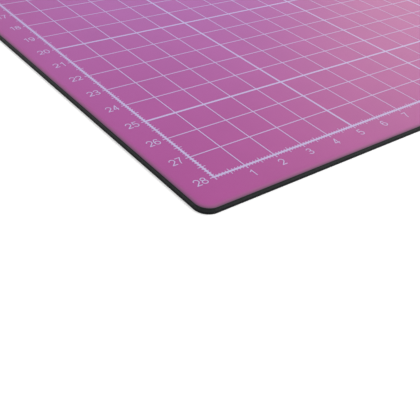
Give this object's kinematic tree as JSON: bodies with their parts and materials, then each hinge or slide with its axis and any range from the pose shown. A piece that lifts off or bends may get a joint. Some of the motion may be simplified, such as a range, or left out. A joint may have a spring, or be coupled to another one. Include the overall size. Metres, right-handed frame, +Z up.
{
  "type": "craft cutting mat",
  "caption": "Flat self-healing cutting mat with rounded corners, a pink face ruled in centimetres and a black laminated edge, laid on a table to cut on.",
  "frame": {"origin": "centre of the underside, on the table", "axes": "+X along the long edges, in the direction that the columns count; +Y along the short edges, away from the reader; +Z up, out of the ruled face"},
  "size_m": [0.45, 0.3, 0.002],
  "materials": {
    "film_pink": "satin",
    "print_ink": "satin",
    "healing_black": "matte",
    "core_grey": "matte",
    "backing_black": "matte"
  },
  "bodies": {
    "root": {"backing_film": "backing_black", "lower_healing_ply": "healing_black", "hard_core": "core_grey", "upper_healing_ply": "healing_black", "cutting_film": "film_pink", "row_lines": "print_ink", "column_lines": "print_ink"}
  },
  "joints": []
}
